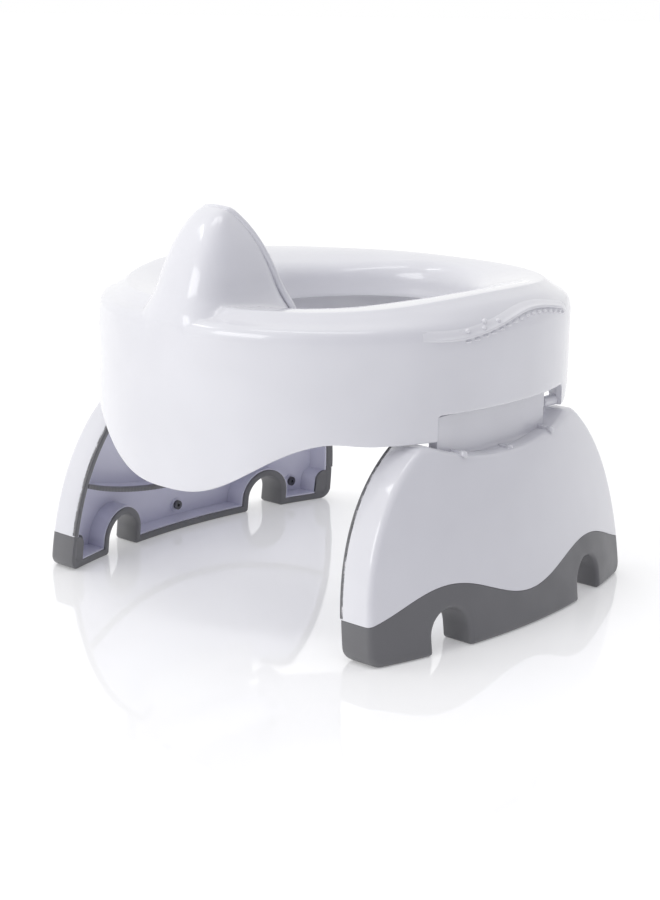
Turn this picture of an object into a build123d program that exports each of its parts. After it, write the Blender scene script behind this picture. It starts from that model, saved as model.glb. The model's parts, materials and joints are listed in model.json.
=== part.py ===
from build123d import *
import math
import os

# Foldable potty seat: an oval seat ring with a splash guard, carried by two hinged legs.
# X runs across, -Y is the front (splash guard), +Z is up, and the floor is z = 0. Millimetres.
# The model stands in potty mode, with both legs down. The right leg is built, and the left is its mirror.

# Seat ring, seen from above: two half superellipses that share their widest chord
RING_HALF_WIDTH = 116.0
RING_FRONT = 125.0
RING_BACK = 118.0
RING_Y = 3.5
FRONT_POWER = 2.2
BACK_POWER = 2.3
SEAT_TOP = 163.0
EDGE_RADIUS = 11.5
WALL = 3.0
SKIRT_BOTTOM = 100.0
REAR_BOTTOM = 107.5
REAR_RAMP_Y = (60.0, 72.0)
NOSE_BOTTOM = 70.0
NOSE_HALF_WIDTH = 85.0
OPENING_HALF_WIDTH = 62.0
OPENING_HALF_LENGTH = 75.0
OPENING_Y = 12.5
COLLAR_BOTTOM = 138.0

# Splash guard: a hollow bell that stands on the front of the ring
GUARD_TOP = 203.5
GUARD_TOP_Y = -87.0
GUARD_HALF_WIDTH = 25.5
GUARD_ROOT = SEAT_TOP - 8.0

# Soft strips on the ring's outer top edge, with a wavy lip and a row of beads
STRIP_THICKNESS = 0.9
STRIP_GAP = 0.1
STRIP_FRONT = -60.0
STRIP_BACK = 42.0
STRIP_INNER_X = 99.0
STRIP_LOW_Y = -45.0
STRIP_HIGH_Y = 18.0
STRIP_LIP = 150.3
STRIP_SWING = 3.8
BEAD_RADIUS = 1.5
BEAD_COUNT = 17

# Hinges: two steel pins a side on one axis along Y, between lugs at the ends of the skirt's notch
LEG_Y = 4.5
HINGE_X = 103.0
HINGE_Z = 102.3
FOLD_OUT_DEG = 79.0
PIN_RADIUS = 1.5
PIN_CLEARANCE = 0.05
PIN_DEPTH = 14.0
KNUCKLE_RADIUS = 2.8
TONGUE_FRONT = -48.0
TONGUE_BACK = 39.0
TONGUE_LOW = 82.0
TONGUE_ROOT_TOP = 85.5
TONGUE_TOP = 110.0
TONGUE_FIN = 2.5
NOTCH_HALF_LENGTH = 51.6
NOTCH_TOP = 113.5
LUG_RADIUS = 2.9
LUG_THICKNESS = 5.0
LUG_BORE_DEPTH = 4.4
LUG_INNER_X = 98.5
LUG_TOP = 148.0

# Latch plates: a plate under the seat with a lip just above the sweep of the tongue's fin
LATCH_X = (82.0, 99.5)
LATCH_HALF_LENGTH = 50.0
LATCH_LOW = 118.5
LATCH_HIGH = 122.0
LIP_X = 96.7
LIP_LOW = 112.0
LIP_HALF_LENGTH = 41.0
LATCH_SCREW_X = 88.0
LATCH_SCREW_Y = 44.0
BOSS_RADIUS = 3.6
BOSS_HOLE = 12.0
SCREW_RADIUS = 1.3
SCREW_HEAD_RADIUS = 2.7
SCREW_HEAD_HEIGHT = 1.6
DRIVE_RADIUS = 0.9
DRIVE_DEPTH = 0.9

# Legs: curved, leaning wings with an arched outline, open trays on their inner side
FOOT_X = 131.9
LEAN = 0.108
LEAN_CURVE = 0.0008
LEG_PLAN_RADIUS = 332.0
LEG_DEPTH = 18.0
LEG_SKIN = 2.6
LEG_RIM = 4.0
ARCH_HALF_WIDTH = 104.5
ARCH_HEIGHT = 112.0
ARCH_POWER = 2.4
LEG_TOP = 97.0
LEDGE_CLEARANCE = 1.5
LEDGE_RIB_Y = (-37.0, 0.0, 35.0)
LEDGE_RIB_LENGTH = 9.0
LEDGE_RIB_HALF_WIDTH = 1.1
LEDGE_RIB_HEIGHT = 1.0
SOLE_CORNER = 5.0
FOOT_NOTCH_Y = 57.5
FOOT_NOTCH_RADIUS = 11.8
FOOT_NOTCH_TOP = 20.5
TRIM_THICKNESS = 1.5
PANEL_THICKNESS = 2.0
LINER_WALL = 0.8
WAVE_MIDDLE = 25.3
WAVE_HEIGHT = 7.0
WAVE_LENGTH = 116.0
EAR_Y = 94.0
EAR_RADIUS = 7.0
EAR_TOP = 18.5
RIB_RADIUS = 262.0
RIB_LOW_Z = 29.0
RIB_THICKNESS = 2.4
LEG_SCREW_Y = (-86.0, 0.0, 86.0)
LEG_SCREW_Z = 11.0
LEG_BOSS_RADIUS = 4.0
LEG_BOSS_HEIGHT = 1.0
LEG_SCREW_END = 1.2

os.makedirs("parts", exist_ok=True)


# ---------------------------------------------------------------- shapes used throughout

def block(x_range, y_range, z_range):
    ranges = (x_range, y_range, z_range)
    size = [high - low for low, high in ranges]
    centre = [(low + high) / 2 for low, high in ranges]
    return Pos(*centre) * Box(*size)


def rod_z(x, y, radius, low, high):
    return Pos(x, y, (low + high) / 2) * Cylinder(radius, high - low)


def rod_y(x, z, radius, low, high):
    return Pos(x, (low + high) / 2, z) * Rot(90, 0, 0) * Cylinder(radius, high - low)


def rod_x(y, z, radius, low, high):
    return Pos((low + high) / 2, y, z) * Rot(0, 90, 0) * Cylinder(radius, high - low)


def along_x(face, low=60.0, high=150.0):
    """Extrude a face drawn in the YZ plane from x = low to x = high."""
    return Pos(low, 0, 0) * extrude(Plane.YZ * face, high - low, dir=(1, 0, 0))


def between(near, far):
    return (min(near, far), max(near, far))


def write_pair(name, right):
    """Write the right-hand piece, and its mirror for the left."""
    export_step(right, "parts/" + name + "_right.step")
    export_step(mirror(right, about=Plane.YZ), "parts/" + name + "_left.step")


# ---------------------------------------------------------------- seat shell

def ring_x(y, inset=0.0):
    """Half-width of the ring's outline at a given y."""
    length = (RING_FRONT if y < RING_Y else RING_BACK) - inset
    power = FRONT_POWER if y < RING_Y else BACK_POWER
    ratio = min(abs(y - RING_Y) / length, 1.0)
    return (RING_HALF_WIDTH - inset) * (1 - ratio ** power) ** (1 / power)


def ring_face(inset=0.0, count=40):
    """The ring's outline in the XY plane, moved in by inset."""
    points = []
    for index in range(count):
        angle = 2 * math.pi * index / count
        cosine = math.cos(angle)
        sine = math.sin(angle)
        power = BACK_POWER if sine > 0 else FRONT_POWER
        length = (RING_BACK if sine > 0 else RING_FRONT) - inset
        x = (RING_HALF_WIDTH - inset) * math.copysign(abs(cosine) ** (2 / power), cosine)
        y = RING_Y + length * math.copysign(abs(sine) ** (2 / power), sine)
        points.append((x, y))
    return make_face(Spline(*points, periodic=True))


def ring_prism(inset, low, high):
    return extrude(Pos(0, 0, low) * ring_face(inset), high - low, dir=(0, 0, 1))


def ring_body(inset):
    """The ring without its opening: rounded on top, moved in by inset on every side."""
    top = SEAT_TOP - inset
    body = ring_prism(inset, 40, top)
    rim = [edge for edge in body.edges() if abs(edge.center().Z - top) < 0.01]
    return fillet(rim, EDGE_RADIUS - inset)


def opening(inset):
    """The seat opening, as a prism; a positive inset makes it larger."""
    face = Sketch() + Ellipse(OPENING_HALF_WIDTH + inset, OPENING_HALF_LENGTH + inset)
    return Pos(0, OPENING_Y, 30) * extrude(face, 210, dir=(0, 0, 1))


def guard_body(inset):
    """The splash guard: its bell-shaped front outline crossed with its leaning side outline."""
    top = GUARD_TOP - inset
    half = GUARD_HALF_WIDTH - inset
    low = GUARD_ROOT - 9
    waist = (half - 7.0, SEAT_TOP + 16)
    shoulder = (half - 12.0, top - 11)
    right = Spline((half, GUARD_ROOT), waist, shoulder, (0, top), tangents=[(-0.3, 1), (-1, 0)])
    left = mirror(right, about=Plane.YZ)
    base = Polyline((-half, GUARD_ROOT), (-half, low), (half, low), (half, GUARD_ROOT))
    bell = extrude(Plane.XZ * make_face([right, left, base]), 140, dir=(0, -1, 0))

    nose = RING_Y - RING_FRONT + inset
    back = OPENING_Y - OPENING_HALF_LENGTH - inset
    brow = (nose + 16, SEAT_TOP + 23)
    front = Spline((nose, low), (nose + 5, SEAT_TOP - 1), brow, (GUARD_TOP_Y, top), tangents=[(0, 1), (1, 0)])
    nape = (GUARD_TOP_Y + 14 - inset, top - 16)
    rear = Spline((GUARD_TOP_Y, top), nape, (back, SEAT_TOP - 6), tangents=[(1, 0), (0.3, -1)])
    floor = Polyline((back, SEAT_TOP - 6), (back + 12, low), (nose, low))
    profile = extrude(Plane.YZ * make_face([front, rear, floor]), 160, dir=(1, 0, 0), both=True)
    return bell & profile & ring_prism(inset, 100, 240)


def nose_bottom(x):
    """Height of the skirt's bottom edge at the front."""
    share = (1 - math.cos(math.pi * abs(x) / NOSE_HALF_WIDTH)) / 2
    return NOSE_BOTTOM + (SKIRT_BOTTOM - NOSE_BOTTOM) * share


def below_skirt():
    """Everything below the skirt's bottom edge, which dips at the front and steps up at the rear."""
    step = NOSE_HALF_WIDTH / 5
    dip = [(index * step, nose_bottom(index * step)) for index in range(-5, 6)]
    curve = Spline(*dip, tangents=[(1, 0), (1, 0)])
    rest = Polyline(dip[-1], (150, SKIRT_BOTTOM), (150, 20), (-150, 20), (-150, SKIRT_BOTTOM), dip[0])
    front = extrude(Plane.XZ * make_face([curve, rest]), 160, dir=(0, -1, 0))
    low = SKIRT_BOTTOM - 1
    ramp = Polyline((REAR_RAMP_Y[0], low), (REAR_RAMP_Y[0], SKIRT_BOTTOM), (REAR_RAMP_Y[1], REAR_BOTTOM),
                    (150, REAR_BOTTOM), (150, low), (REAR_RAMP_Y[0], low))
    rear = along_x(make_face(ramp), -150, 150)
    return front + block((-150, 150), (0, 150), (20, SKIRT_BOTTOM)) + rear


def notch():
    """The gap in the skirt that the right leg's tongue swings through."""
    return block((90, 150), (LEG_Y - NOTCH_HALF_LENGTH, LEG_Y + NOTCH_HALF_LENGTH), (60, NOTCH_TOP))


def lug(end):
    """A pivot lug at one end of the right notch, and the blind bore for its pin."""
    near = LEG_Y + end * NOTCH_HALF_LENGTH
    thickness = between(near, near + end * LUG_THICKNESS)
    body = block((LUG_INNER_X, 120), thickness, (HINGE_Z, LUG_TOP))
    body = body + rod_y(HINGE_X, HINGE_Z, LUG_RADIUS, *thickness)
    body = body + block((LUG_INNER_X, HINGE_X), thickness, (HINGE_Z - 1.2, HINGE_Z))
    bore = rod_y(HINGE_X, HINGE_Z, PIN_RADIUS + PIN_CLEARANCE, *between(near - end, near + end * LUG_BORE_DEPTH))
    return (body & ring_prism(0.5, 90, 200)), bore


def latch_screw_places():
    return [(LATCH_SCREW_X, LEG_Y + end * LATCH_SCREW_Y) for end in (-1, 1)]


def seat_shell():
    """One moulding: rounded ring, collar round the opening, skirt with its nose, guard, lugs and bosses."""
    outside = ring_body(0) + guard_body(0)
    hollow = (ring_body(WALL) + guard_body(WALL)) - opening(WALL)
    shell = outside - hollow - ring_prism(WALL, 30, COLLAR_BOTTOM) - opening(0)
    shell = shell - below_skirt() - notch() - mirror(notch(), about=Plane.YZ)
    for end in (-1, 1):
        body, bore = lug(end)
        shell = shell + body + mirror(body, about=Plane.YZ)
        shell = shell - bore - mirror(bore, about=Plane.YZ)
    for x, y in latch_screw_places():
        boss = rod_z(x, y, BOSS_RADIUS, LATCH_HIGH, SEAT_TOP - 2)
        hole = rod_z(x, y, SCREW_RADIUS, LATCH_HIGH, LATCH_HIGH + BOSS_HOLE)
        shell = shell + boss + mirror(boss, about=Plane.YZ)
        shell = shell - hole - mirror(hole, about=Plane.YZ)
    return shell


def strip_lip(y):
    """Height of the strip's lower edge: an S that rises towards the back."""
    turn = (y - STRIP_LOW_Y) / (STRIP_HIGH_Y - STRIP_LOW_Y)
    return STRIP_LIP - STRIP_SWING * math.cos(math.pi * turn)


def grip_strip():
    """The right-hand soft strip: a skin over the ring's edge, with a row of beads above its lip."""
    plain = ring_body(-STRIP_GAP)
    skin = ring_body(-STRIP_THICKNESS) - plain
    places = [STRIP_FRONT + (STRIP_BACK - STRIP_FRONT) * index / 8 for index in range(9)]
    lip = Spline(*[(y, strip_lip(y)) for y in places])
    edge = Polyline(lip @ 1, (STRIP_BACK, 190), (STRIP_FRONT, 190), lip @ 0)
    strip = skin & (Pos(0, LEG_Y, 0) * along_x(make_face([lip, edge]), STRIP_INNER_X, 130))
    pitch = (STRIP_BACK - STRIP_FRONT) / BEAD_COUNT
    for index in range(BEAD_COUNT):
        y = STRIP_FRONT + pitch * (index + 0.5)
        height = strip_lip(y) + BEAD_RADIUS + 0.5
        lean = max(height - (SEAT_TOP - EDGE_RADIUS), 0)
        inward = EDGE_RADIUS - math.sqrt(EDGE_RADIUS ** 2 - lean ** 2)
        bead = Pos(ring_x(y + LEG_Y) - inward, y + LEG_Y, height) * Sphere(BEAD_RADIUS)
        strip = strip + (bead - plain)
    return strip


# ---------------------------------------------------------------- latch plates

def latch_plate():
    """A plate screwed up under the seat; its lip reaches down to just above the fin's sweep."""
    length = (LEG_Y - LATCH_HALF_LENGTH, LEG_Y + LATCH_HALF_LENGTH)
    lip_length = (LEG_Y - LIP_HALF_LENGTH, LEG_Y + LIP_HALF_LENGTH)
    plate = block(LATCH_X, length, (LATCH_LOW, LATCH_HIGH))
    plate = plate + block((LIP_X, LATCH_X[1]), lip_length, (LIP_LOW, LATCH_HIGH))
    for x, y in latch_screw_places():
        plate = plate - rod_z(x, y, SCREW_RADIUS, LATCH_LOW, LATCH_HIGH)
    return plate


def latch_screws():
    """Two pan-head screws, from below through the plate into the bosses."""
    screws = []
    low = LATCH_LOW - SCREW_HEAD_HEIGHT
    for x, y in latch_screw_places():
        head = rod_z(x, y, SCREW_HEAD_RADIUS, low, LATCH_LOW)
        drive = rod_z(x, y, DRIVE_RADIUS, low, low + DRIVE_DEPTH)
        shank = rod_z(x, y, SCREW_RADIUS, LATCH_LOW, LATCH_HIGH + BOSS_HOLE - 1)
        screws.append(head - drive + shank)
    return Compound(screws)


# ---------------------------------------------------------------- right leg

def outer_x(z):
    """The leg's outer face at its middle."""
    return FOOT_X - LEAN * z - LEAN_CURVE * z * z


def leg_slab(outside, inside, low=-5.0, high=105.0):
    """The leg's thickness between two depths from its outer face, leaning and bent to its plan radius."""
    heights = (low, (low + high) / 2, high)
    outer = ThreePointArc(*[(outer_x(z) - outside, z) for z in heights])
    inner = ThreePointArc(*[(outer_x(z) - inside, z) for z in reversed(heights)])
    section = Plane.XZ * make_face([outer, inner, Line(outer @ 1, inner @ 0), Line(inner @ 1, outer @ 0)])
    axis = Axis((FOOT_X - LEG_PLAN_RADIUS, 0, 0), (0, 0, 1))
    return Pos(0, LEG_Y, 0) * revolve(section, axis, 50).rotate(axis, -25)


def arch_y(z, inset):
    """Half-width of the arched outline at a given height."""
    ratio = min(max(z, 0) / (ARCH_HEIGHT - inset), 1.0)
    return (ARCH_HALF_WIDTH - inset) * (1 - ratio ** ARCH_POWER) ** (1 / ARCH_POWER)


def foot_notch(end, inset):
    """A notch in the sole, with a half-round top."""
    radius = FOOT_NOTCH_RADIUS + inset
    centre = FOOT_NOTCH_TOP - FOOT_NOTCH_RADIUS
    slot = Pos(end * FOOT_NOTCH_Y, centre) * Circle(radius)
    return slot + Pos(end * FOOT_NOTCH_Y, (centre - 20) / 2) * Rectangle(2 * radius, centre + 20)


def leg_outline(inset):
    """The leg seen from the side, moved in by inset: rounded lower corners, arched top, two foot notches."""
    corner = SOLE_CORNER
    heights = [corner + (LEG_TOP - corner) * share for share in (0, 0.15, 0.3, 0.45, 0.6, 0.72, 0.82, 0.91, 1)]
    right = Spline(*[(arch_y(z, inset), z) for z in heights])
    left = mirror(right, about=Plane.YZ)
    half = arch_y(corner, inset)
    sole = [Line((-half + corner, inset), (half - corner, inset))]
    if inset < corner:
        arc_right = ThreePointArc((half - corner, inset), (half - corner * 0.29, corner * 0.29 + inset * 0.71),
                                  (half, corner))
        sole += [arc_right, mirror(arc_right, about=Plane.YZ)]
    face = make_face([right, left, Line(right @ 1, left @ 1)] + sole)
    for end in (-1, 1):
        face = face - foot_notch(end, inset)
    return Pos(LEG_Y, 0) * face


def ledge_z(y):
    """Height of the crescent ledge, which clears the ring's wall when the leg swings out."""
    return HINGE_Z - (ring_x(y) + LEDGE_CLEARANCE - HINGE_X) / math.sin(math.radians(FOLD_OUT_DEG))


def above_ledge(drop):
    """The room above the crescent ledge, lowered by drop."""
    reach = NOTCH_HALF_LENGTH + 10
    places = [LEG_Y + reach * index / 6 for index in range(-6, 7)]
    curve = Spline(*[(y, ledge_z(y) - drop) for y in places])
    rest = Polyline(curve @ 1, (places[-1] + 20, 130), (places[0] - 20, 130), curve @ 0)
    return along_x(make_face([curve, rest]))


def below_wave():
    """The room below the foot's wavy top edge."""
    places = [WAVE_LENGTH * index / 12 for index in range(-12, 13)]
    heights = [WAVE_MIDDLE - WAVE_HEIGHT * math.cos(2 * math.pi * y / WAVE_LENGTH) for y in places]
    curve = Spline(*[(y + LEG_Y, z) for y, z in zip(places, heights)])
    rest = Polyline(curve @ 1, (WAVE_LENGTH + LEG_Y, -20), (LEG_Y - WAVE_LENGTH, -20), curve @ 0)
    return along_x(make_face([curve, rest]))


def leg_layer(outside, inside, inset):
    """A layer of the leg between two depths, inside its outline and below the ledge."""
    return (leg_slab(outside, inside) & along_x(leg_outline(inset))) - above_ledge(inset)


def tongue():
    """The tongue that reaches up into the notch: a thick root, the pin barrel, and a fin that closes the notch."""
    ends = (LEG_Y + TONGUE_FRONT, LEG_Y + TONGUE_BACK)
    face = HINGE_X + KNUCKLE_RADIUS
    plate = block((HINGE_X - KNUCKLE_RADIUS, face), ends, (TONGUE_LOW, HINGE_Z))
    root = block((HINGE_X - KNUCKLE_RADIUS, face + 2 * KNUCKLE_RADIUS), ends, (TONGUE_LOW, TONGUE_ROOT_TOP))
    fin = block((face - TONGUE_FIN, face), ends, (HINGE_Z, TONGUE_TOP))
    return plate + root + fin + rod_y(HINGE_X, HINGE_Z, KNUCKLE_RADIUS, *ends)


def pin_span(end):
    """Y range of one hinge pin: pressed into the tongue, across the gap and into the lug."""
    inner = LEG_Y + (TONGUE_FRONT + PIN_DEPTH if end < 0 else TONGUE_BACK - PIN_DEPTH)
    outer = LEG_Y + end * (NOTCH_HALF_LENGTH + LUG_BORE_DEPTH - 0.4)
    return between(inner, outer)


def leg_shell():
    """The white shell: outer skin, side walls, crescent ledge with three small ribs, and the tongue."""
    tray = leg_layer(0, LEG_DEPTH - TRIM_THICKNESS, 0) - leg_layer(LEG_SKIN, LEG_DEPTH, LEG_RIM) - below_wave()
    shell = tray + tongue()
    for end in (-1, 1):
        shell = shell - rod_y(HINGE_X, HINGE_Z, PIN_RADIUS, *pin_span(end))
    wall = HINGE_X + KNUCKLE_RADIUS
    for y in LEDGE_RIB_Y:
        z = ledge_z(LEG_Y + y)
        sides = (LEG_Y + y - LEDGE_RIB_HALF_WIDTH, LEG_Y + y + LEDGE_RIB_HALF_WIDTH)
        shell = shell + block((wall - 1, wall + LEDGE_RIB_LENGTH), sides, (z - 1, z + LEDGE_RIB_HEIGHT))
    return shell


def ear_room():
    """The lower corners, where the tray is filled and the soft foot has its ears."""
    room = None
    for end in (-1, 1):
        near = LEG_Y + end * EAR_Y
        ear = block((60, 150), between(near, near + end * 30), (-5, EAR_TOP - EAR_RADIUS))
        ear = ear + rod_x(near + end * EAR_RADIUS, EAR_TOP - EAR_RADIUS, EAR_RADIUS, 60, 150)
        ear = ear + block((60, 150), between(near + end * EAR_RADIUS, near + end * 30), (0, EAR_TOP))
        room = ear if room is None else room + ear
    return room


def leg_foot():
    """The soft foot: wavy outer band, sole with two notches, and flat ears over the inner corners."""
    band = leg_layer(0, LEG_DEPTH, 0) - leg_layer(LEG_SKIN, LEG_DEPTH + 5, LEG_RIM)
    ears = leg_layer(LEG_DEPTH - TRIM_THICKNESS, LEG_DEPTH, LEG_RIM) & ear_room()
    foot = (band + ears) & below_wave()
    for y in LEG_SCREW_Y:
        foot = foot - leg_screw_hole(y)
    return foot


def screw_x(y, depth):
    """X of a point at a depth below the leg's outer face, at the height of the leg screws."""
    bend = LEG_PLAN_RADIUS - math.sqrt(LEG_PLAN_RADIUS ** 2 - y ** 2)
    return outer_x(LEG_SCREW_Z) - bend - depth


def leg_screw_hole(y):
    return rod_x(LEG_Y + y, LEG_SCREW_Z, SCREW_RADIUS, screw_x(y, LEG_DEPTH + 5), screw_x(y, LEG_SCREW_END))


def cross_rib(outside, inside, thickness):
    """A layer of the cross rib, a shallow smile across the tray."""
    arc_centre = RIB_LOW_Z + RIB_RADIUS
    ring = Circle(RIB_RADIUS + thickness / 2) - Circle(RIB_RADIUS - thickness / 2)
    smile = (Pos(LEG_Y, arc_centre) * ring) & (Pos(LEG_Y, RIB_LOW_Z + 30) * Rectangle(300, 80))
    return leg_layer(outside, inside, LEG_RIM) & along_x(smile)


def leg_panel():
    """The inner panel: a thin tray liner with filled lower corners, screw bosses, and the cross rib."""
    floor = LEG_SKIN + PANEL_THICKNESS
    edge = LEG_DEPTH - TRIM_THICKNESS
    tray = leg_layer(LEG_SKIN, edge, LEG_RIM)
    inside_tongue = block((80, HINGE_X), (LEG_Y + TONGUE_FRONT, LEG_Y + TONGUE_BACK), (TONGUE_LOW, LEG_TOP))
    panel = tray - leg_layer(floor, LEG_DEPTH, LEG_RIM + LINER_WALL) - tongue() - inside_tongue
    panel = panel + (tray & ear_room()) + cross_rib(LEG_SKIN, edge, RIB_THICKNESS)
    for y in LEG_SCREW_Y:
        boss = (screw_x(y, floor + LEG_BOSS_HEIGHT), screw_x(y, floor - 0.5))
        panel = panel + rod_x(LEG_Y + y, LEG_SCREW_Z, LEG_BOSS_RADIUS, *boss) - leg_screw_hole(y)
    return panel


def leg_trim():
    """The soft trim on the tray's inner rim, in two strips that meet the foot."""
    rim = leg_layer(LEG_DEPTH - TRIM_THICKNESS, LEG_DEPTH, 0) - leg_layer(LEG_DEPTH - 5, LEG_DEPTH + 5, LEG_RIM)
    return rim - below_wave() - tongue()


def leg_screws():
    """Three self-tapping screws with a washer head, along the sole."""
    screws = []
    seat = LEG_SKIN + PANEL_THICKNESS + LEG_BOSS_HEIGHT
    top = seat + SCREW_HEAD_HEIGHT
    for y in LEG_SCREW_Y:
        place = (LEG_Y + y, LEG_SCREW_Z)
        head = rod_x(*place, SCREW_HEAD_RADIUS, screw_x(y, top), screw_x(y, seat))
        drive = rod_x(*place, DRIVE_RADIUS, screw_x(y, top), screw_x(y, top - DRIVE_DEPTH))
        shank = rod_x(*place, SCREW_RADIUS, screw_x(y, seat), screw_x(y, LEG_SCREW_END))
        screws.append(head - drive + shank)
    return Compound(screws)


def hinge_pins():
    """Two steel pins on the hinge axis, one at each end of the tongue."""
    return Compound([rod_y(HINGE_X, HINGE_Z, PIN_RADIUS, *pin_span(end)) for end in (-1, 1)])


export_step(seat_shell(), "parts/seat_shell.step")
write_pair("grip_strip", grip_strip())
write_pair("latch_plate", latch_plate())
write_pair("latch_screws", latch_screws())
write_pair("leg_shell", leg_shell())
write_pair("leg_foot", leg_foot())
write_pair("leg_inner_panel", leg_panel())
write_pair("leg_edge_trim", leg_trim())
write_pair("leg_rib_grip", cross_rib(LEG_DEPTH - TRIM_THICKNESS, LEG_DEPTH, LEG_RIM))
write_pair("leg_screws", leg_screws())
write_pair("hinge_pins", hinge_pins())
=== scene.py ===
import json
import math

import bmesh
import bpy
import numpy as np
from mathutils import Matrix, Vector


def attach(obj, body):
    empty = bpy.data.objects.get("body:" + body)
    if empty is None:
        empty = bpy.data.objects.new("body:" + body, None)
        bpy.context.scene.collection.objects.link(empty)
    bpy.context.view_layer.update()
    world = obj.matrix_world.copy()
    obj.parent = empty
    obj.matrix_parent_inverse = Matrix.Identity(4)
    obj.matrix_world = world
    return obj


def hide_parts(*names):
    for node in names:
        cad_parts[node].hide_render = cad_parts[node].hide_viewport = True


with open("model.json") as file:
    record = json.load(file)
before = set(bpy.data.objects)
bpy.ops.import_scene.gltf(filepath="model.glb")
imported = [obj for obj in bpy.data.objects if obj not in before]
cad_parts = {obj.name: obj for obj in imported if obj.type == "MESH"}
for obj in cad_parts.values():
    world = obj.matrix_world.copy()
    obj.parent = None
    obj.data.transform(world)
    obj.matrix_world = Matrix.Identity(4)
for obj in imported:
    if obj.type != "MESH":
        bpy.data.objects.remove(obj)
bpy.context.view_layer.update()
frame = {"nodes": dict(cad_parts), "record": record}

MM = 0.001
SLOT = {row["node"]: row["material_slot"] for row in frame["record"]["subparts"]}
SEAT = "seat"
SIDES = (("right", 1), ("left", -1))
ENDS = (("front", -1), ("rear", 1))

# Sizes are in millimetres, in the row frame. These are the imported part's, except that the notch's top is
# 2.5 mm lower here.
RING_HALF_WIDTH, RING_FRONT, RING_BACK, RING_Y = 116.0, 125.0, 118.0, 3.5
FRONT_POWER, BACK_POWER = 2.2, 2.3
OPENING_HALF_WIDTH, OPENING_HALF_LENGTH, OPENING_Y = 62.0, 75.0, 12.5
WALL, COLLAR_BOTTOM = 3.0, 138.0
SKIRT_BOTTOM, REAR_BOTTOM, NOSE_BOTTOM, NOSE_HALF_WIDTH = 100.0, 107.5, 70.0, 85.0
LEG_Y, NOTCH_HALF_LENGTH, NOTCH_TOP = 4.5, 51.6, 111.0
HINGE_X, HINGE_Z, KNUCKLE = 103.0, 102.3, 2.8
TONGUE_FRONT, TONGUE_BACK, TONGUE_TOP, TONGUE_FIN = -48.0, 39.0, 110.0, 2.5
FOLD_OUT = math.radians(79.0)
GUARD_TOP = 203.5


# ---------------------------------------------------------------- materials

# Surface textures of the plastics and metals: (height in millimetres, scale per metre, strength)
MOULDED = (0.02, 260.0, 0.12)
SOFT = (0.04, 1400.0, 0.35)
TURNED = (0.01, 900.0, 0.35)
PLATED = (0.02, 700.0, 0.35)
NOISE_RANGE = (0.3, 0.7)
COLOR_DRIFT, COLOR_SCALE = (0.97, 1.02), 22.0
GLOSS_DRIFT, GLOSS_SCALE = (0.85, 1.2), 60.0


def material(name, color, roughness, coat=0.0, metallic=0.0):
    made = bpy.data.materials.new(name)
    made.use_nodes = True
    shader = made.node_tree.nodes["Principled BSDF"]
    shader.inputs["Base Color"].default_value = (*color, 1)
    shader.inputs["Roughness"].default_value = roughness
    shader.inputs["Metallic"].default_value = metallic
    shader.inputs["Coat Weight"].default_value = coat
    shader.inputs["Coat Roughness"].default_value = 0.04
    return made, shader


def plastic(name, color, roughness, coat, texture=MOULDED, metallic=0.0):
    """Moulded plastic, rubber or metal: slight colour drift, faint surface ripple, and uneven gloss."""
    made, shader = material(name, color, roughness, coat, metallic)
    nodes, links = made.node_tree.nodes, made.node_tree.links
    place = nodes.new("ShaderNodeNewGeometry").outputs["Position"]
    height, grain, strength = texture

    def noise(scale, detail):
        node = nodes.new("ShaderNodeTexNoise")
        node.inputs["Scale"].default_value = scale
        node.inputs["Detail"].default_value = detail
        links.new(place, node.inputs["Vector"])
        return node.outputs["Fac"]

    def ramp(value, low, high):
        node = nodes.new("ShaderNodeMapRange")
        node.inputs["From Min"].default_value, node.inputs["From Max"].default_value = NOISE_RANGE
        node.inputs["To Min"].default_value = low
        node.inputs["To Max"].default_value = high
        links.new(value, node.inputs["Value"])
        return node.outputs["Result"]

    mix = nodes.new("ShaderNodeMix")
    mix.data_type = "RGBA"
    for socket, drift in zip("AB", COLOR_DRIFT):
        mix.inputs[socket].default_value = (*[min(c * drift, 1) for c in color], 1)
    links.new(ramp(noise(COLOR_SCALE, 2.0), 0.0, 1.0), mix.inputs["Factor"])
    links.new(mix.outputs["Result"], shader.inputs["Base Color"])
    low, high = (roughness * drift for drift in GLOSS_DRIFT)
    links.new(ramp(noise(GLOSS_SCALE, 4.0), low, high), shader.inputs["Roughness"])
    bump = nodes.new("ShaderNodeBump")
    bump.inputs["Strength"].default_value = strength
    bump.inputs["Distance"].default_value = height * MM
    links.new(noise(grain, 3.0), bump.inputs["Height"])
    links.new(bump.outputs["Normal"], shader.inputs["Normal"])
    return made


FINISH = {"white_shell": plastic("gloss_white", (0.775, 0.775, 0.81), 0.22, 0.6),
          "white_panel": plastic("satin_white", (0.75, 0.75, 0.87), 0.34, 0.2),
          "grey_soft": plastic("soft_grey", (0.155, 0.155, 0.162), 0.42, 0.1, SOFT),
          "clear_soft": plastic("milky_strip", (0.80, 0.80, 0.83), 0.3, 0.3),
          "pin_steel": plastic("turned_steel", (0.62, 0.62, 0.65), 0.3, 0.0, TURNED, 1.0),
          "screw_steel": plastic("dark_screw", (0.10, 0.10, 0.11), 0.32, 0.2, PLATED, 0.5)}


# ---------------------------------------------------------------- helpers

def make_object(name, points, faces, body, node, replaces=True, smooth=35.0):
    """A mesh piece from points in millimetres."""
    mesh = bpy.data.meshes.new(name)
    mesh.from_pydata((np.asarray(points, float) * MM).tolist(), [], faces)
    mesh.validate()
    return finish_object(name, mesh, body, node, replaces, smooth)


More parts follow.
